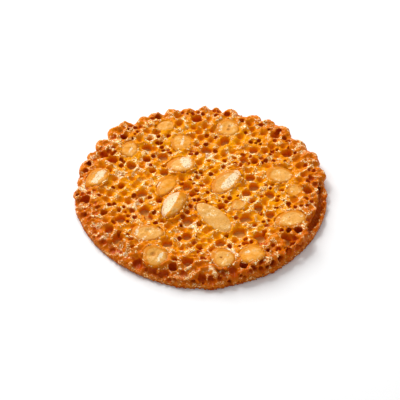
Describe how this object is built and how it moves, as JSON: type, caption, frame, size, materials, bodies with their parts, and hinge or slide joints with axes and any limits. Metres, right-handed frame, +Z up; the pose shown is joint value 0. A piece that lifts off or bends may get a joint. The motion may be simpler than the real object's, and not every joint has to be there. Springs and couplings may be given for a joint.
{
  "type": "florentine cookie",
  "caption": "Thin round lace cookie of baked caramel, full of bubble holes, with a raised browned rim and flaked almonds set in its top.",
  "frame": {"origin": "middle of the underside, on the surface that the cookie lies on", "axes": "+Z up through the cookie's thickness, +X to its right and +Y to its back as it is usually seen"},
  "size_m": [0.0893, 0.0887, 0.0065],
  "materials": {
    "caramel": "brittle baked caramel, glossy, amber in the middle and browner at the rim",
    "almond": "toasted almond flake, satin, cream to golden with brown edges"
  },
  "bodies": {
    "root": {"caramel_lace": "caramel", "almond_flake_01": "almond", "almond_flake_02": "almond", "almond_flake_03": "almond", "almond_flake_04": "almond", "almond_flake_05": "almond", "almond_flake_06": "almond", "almond_flake_07": "almond", "almond_flake_08": "almond", "almond_flake_09": "almond", "almond_flake_10": "almond", "almond_flake_11": "almond", "almond_flake_12": "almond", "almond_flake_13": "almond", "almond_flake_14": "almond", "almond_flake_15": "almond", "almond_flake_16": "almond", "almond_flake_17": "almond", "almond_flake_18": "almond"}
  },
  "joints": []
}
